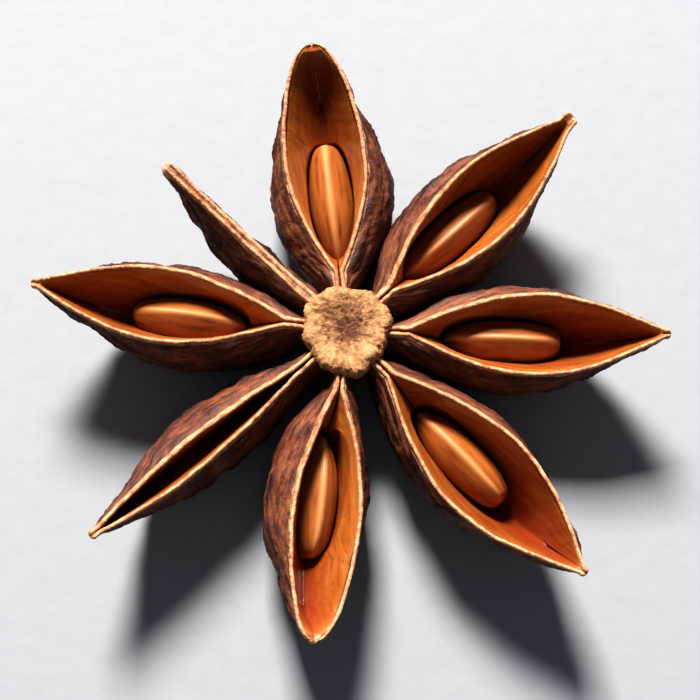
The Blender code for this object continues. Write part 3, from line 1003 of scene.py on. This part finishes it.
@dataclass
class Column:
    """The column in the middle: a dished, crumbly top ring, a waist and the stalk's scar below."""

    top: float = 6.2
    radius: float = 2.45
    waist: float = 1.9
    dish_depth: float = 0.5
    scar_radius: float = 1.15
    scar_height: float = 0.55
    lobe_share: float = 0.06
    knob_share: float = 0.13
    knob_bearing: float = -70.0
    knob_width: float = 24.0
    around: int = 300
    steps_per_mm: float = 15.0
    crumb: float = 0.34
    crumb_height: float = 0.06
    peak_height: float = 0.16
    fibres: float = 4.0
    fibre_height: float = 0.07

    def profile(self) -> np.ndarray:
        """(radius, height) points from the middle of the dish, over the ring and down to the scar."""
        top = self.top
        corners = np.array([
            (0.02, top - self.dish_depth),
            (0.35 * self.radius, top - 0.85 * self.dish_depth),
            (0.62 * self.radius, top - 0.3 * self.dish_depth),
            (0.8 * self.radius, top),
            (0.93 * self.radius, top - 0.12),
            (self.radius, top - 0.45),
            (0.96 * self.radius, top - 1.1),
            (self.waist, 0.5 * top),
            (self.waist, 1.6),
            (1.25 * self.scar_radius, 1.05),
            (self.scar_radius, self.scar_height + 0.1),
            (0.8 * self.scar_radius, self.scar_height),
            (0.02, self.scar_height + 0.12),
        ])
        gone = np.concatenate([[0.0], np.cumsum(np.linalg.norm(np.diff(corners, axis=0), axis=1))])
        even = np.linspace(0.0, gone[-1], int(gone[-1] * self.steps_per_mm))
        line = np.stack([np.interp(even, gone, corners[:, axis]) for axis in (0, 1)], axis=-1)
        for _ in range(10):
            line[1:-1] = 0.25 * line[:-2] + 0.5 * line[1:-1] + 0.25 * line[2:]
        return line

    def swelling(self, angle: np.ndarray) -> np.ndarray:
        """How far the column swells at this bearing, as a share of its radius."""
        lobes = 0.6 * np.sin(3.0 * angle + 0.7) + 0.4 * np.sin(8.0 * angle - 0.4)
        from_knob = np.mod(angle - math.radians(self.knob_bearing) + math.pi, 2.0 * math.pi) - math.pi
        return self.lobe_share * lobes + self.knob_share * hump(from_knob, 0.0, math.radians(self.knob_width))

    def build(self, material: bpy.types.Material) -> bpy.types.Object:
        """Makes the column.

        Args:
            material: Its finish.

        Returns:
            The object, in the row frame.
        """
        line = self.profile()
        angle = np.linspace(0.0, 2.0 * math.pi, self.around, endpoint=False)
        radius = line[:, :1] * (1.0 + self.swelling(angle))[None, :]
        height = np.repeat(line[:, 1:], self.around, axis=1)
        x, y = radius * np.cos(angle), radius * np.sin(angle)
        places = np.stack([x, y, height], axis=-1)
        crumbs = ridges(places / self.crumb, 301, 3)
        peaks = layered_grain(places / np.array([0.9, 0.9, 3.0]), 331, 3)
        on_top = smooth_step(self.top - 2.2, self.top - 0.9, height)
        ring = hump(radius, 0.84 * self.radius, 0.55) * on_top
        slope = np.gradient(line, axis=0)
        normal = np.stack([-slope[:, 1], slope[:, 0]], axis=-1)
        normal /= np.linalg.norm(normal, axis=1, keepdims=True)
        spoke = np.stack([np.cos(angle) * self.fibres + 0.0 * x, np.sin(angle) * self.fibres + 0.0 * x,
                          0.55 * radius - 0.5 * height], axis=-1)
        fibres = ridges(spoke, 351, 3)
        push = self.crumb_height * crumbs * blend(0.35, 1.0, on_top) + self.peak_height * peaks * ring
        push = push + self.fibre_height * fibres * hump(radius, self.radius, 0.7) * on_top
        radius = np.maximum(radius - normal[:, :1] * push * -1.0 * smooth_step(0.05, 0.6, radius), 0.01)
        height = height + normal[:, 1:] * push
        points = np.stack(
            [COLUMN_AT[0] + radius * np.cos(angle), COLUMN_AT[1] + radius * np.sin(angle), height], axis=-1
        )
        values = {
            "relief": np.clip(blend(crumbs, fibres, 0.5 * hump(radius, self.radius, 0.8)), -1.0, 1.0),
            "outward": np.clip(radius / self.radius, 0.0, 1.0),
            "below": 1.0 - smooth_step(self.top - 1.7, self.top - 0.6, height),
            "lay": places,
            "spoke": spoke,
        }
        rings = len(line)
        faces = ring_faces(rings, self.around)
        return Skin("column", points, values, faces, [0] * len(faces)).make([material])

    def dress(self, made: bpy.types.Object) -> None:
        """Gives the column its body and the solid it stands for."""
        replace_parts(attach(made, BODY), POD_NODE)


# ---------------------------------------------------------------- the studio


@dataclass(frozen=True)
class Lamp:
    """A soft square lamp that looks at the pod."""

    name: str
    bearing: float
    elevation: float
    distance: float
    side: float
    power: float
    colour: tuple[float, float, float]

    def build(self, target: Vector) -> None:
        """Hangs the lamp round the target, its bearing counted clockwise from +Y."""
        turn, rise = math.radians(self.bearing), math.radians(self.elevation)
        away = Vector((math.sin(turn) * math.cos(rise), math.cos(turn) * math.cos(rise), math.sin(rise)))
        light = bpy.data.lights.new(self.name, "AREA")
        light.shape, light.size = "SQUARE", self.side
        light.energy, light.color = self.power, self.colour
        made = bpy.data.objects.new(self.name, light)
        bpy.context.scene.collection.objects.link(made)
        made.location = target + away * self.distance
        made.rotation_euler = away.to_track_quat("Z", "Y").to_euler()


@dataclass
class Studio:
    """The table, the lamps, the pale surroundings and the camera."""

    floor_side: float = 6.0
    elevation: float = 75.0
    lens: float = 135.0
    fill: float = 0.9
    surroundings: float = 0.14
    lamps: tuple[Lamp, ...] = (
        Lamp("key", -10.0, 44.0, 0.6, 0.16, 12.5, (1.0, 0.97, 0.92)),
        Lamp("fill", 165.0, 40.0, 0.8, 0.5, 0.2, (0.93, 0.96, 1.0)),
    )

    def build(self, box: tuple[Vector, Vector]) -> None:
        """Sets the scene round the object's box.

        Args:
            box: Lowest and highest corner of the object.
        """
        low, high = box
        middle = (low + high) / 2.0
        self.lay_floor(low.z)
        for lamp in self.lamps:
            lamp.build(middle)
        self.light_surroundings()
        self.place_camera(middle, max(high.x - low.x, high.y - low.y))

    def lay_floor(self, height: float) -> None:
        """A wide table top at this height."""
        half = 0.5 * self.floor_side
        mesh = bpy.data.meshes.new("table_top")
        corners = [(-half, -half, height), (half, -half, height), (half, half, height), (-half, half, height)]
        mesh.from_pydata(corners, [], [(0, 1, 2, 3)])
        mesh.materials.append(FloorFinish().material())
        floor = bpy.data.objects.new("table_top", mesh)
        bpy.context.scene.collection.objects.link(floor)

    def light_surroundings(self) -> None:
        """An even pale glow from all round."""
        world = bpy.data.worlds.new("surroundings")
        world.use_nodes = True
        glow = world.node_tree.nodes["Background"]
        glow.inputs["Color"].default_value = (0.93, 0.95, 1.0, 1.0)
        glow.inputs["Strength"].default_value = self.surroundings
        bpy.context.scene.world = world
        bpy.context.scene.view_settings.view_transform = "Standard"
        bpy.context.scene.view_settings.look = "Medium High Contrast"

    def place_camera(self, middle: Vector, width: float) -> None:
        """A long lens that looks steeply down from the -Y side."""
        camera = bpy.data.cameras.new("camera")
        camera.lens = self.lens
        camera.clip_start, camera.clip_end = 0.01, 20.0
        rise = math.radians(self.elevation)
        away = Vector((0.0, -math.cos(rise), math.sin(rise)))
        distance = width / self.fill * self.lens / camera.sensor_width
        made = bpy.data.objects.new("camera", camera)
        bpy.context.scene.collection.objects.link(made)
        made.location = middle + away * distance
        made.rotation_euler = away.to_track_quat("Z", "Y").to_euler()
        bpy.context.scene.camera = made


# ---------------------------------------------------------------- assembly


def carpels() -> tuple[Carpel, ...]:
    """The eight carpels, anticlockwise from the east one."""
    return (
        Carpel("east", -2.1, 17.75, 7.0, 5.9, 4.25, 6.0, seed=Seed(8.7, 6.6), pattern=1),
        Carpel("northeast", 42.9, 17.3, 7.5, 6.0, 3.95, 10.0, tip=Tip.FORKED, seed=Seed(8.3, 7.0), pattern=2),
        Carpel("north", 96.9, 16.3, 7.4, 6.9, 4.2, -4.0, tip=Tip.BLUNT, tip_fullness=0.45,
               seed=Seed(8.0, 7.1), pattern=3, trough_share=1.7),
        Carpel("northwest", 137.3, 13.5, 6.9, 1.5, 0.16, 8.0, tip=Tip.BROKEN, keel_height=0.9,
               hollow=False, pattern=4, beak_half_width=0.42, beak_height=1.0),
        Carpel("west", 172.6, 17.4, 7.2, 5.6, 3.9, 0.0, seed=Seed(8.8, 6.5), pattern=5),
        Carpel("southwest", 221.0, 18.1, 6.8, 3.8, 1.3, -14.0, pattern=6),
        Carpel("south", 264.6, 17.7, 7.0, 5.5, 3.6, -18.0, tip=Tip.BLUNT, tip_fullness=0.5,
               seed=Seed(9.0, 7.0), pattern=7),
        Carpel("southeast", 312.7, 18.9, 6.9, 6.0, 4.75, 2.0, seed=Seed(9.1, 6.8), pattern=8),
    )


def main() -> None:
    """Builds and dresses the pod, its seeds and the studio."""
    logging.basicConfig(level=logging.INFO, format="%(name)s: %(message)s")
    husk, lining = HuskFinish().material(), LiningFinish().material()
    coat = SeedFinish().material()
    for carpel in carpels():
        wall = carpel.build([husk, lining if carpel.hollow else husk])
        seed = carpel.build_seed(coat) if carpel.seed else None
        carpel.dress(wall, seed)
        LOG.info("%s: %d faces, seed %s", wall.name, len(wall.data.polygons), bool(seed))
    column = Column()
    made = column.build(ColumnFinish().material())
    column.dress(made)
    LOG.info("%s: %d faces", made.name, len(made.data.polygons))
    Studio().build(CAD_BOX)


if __name__ == "__main__":
    main()
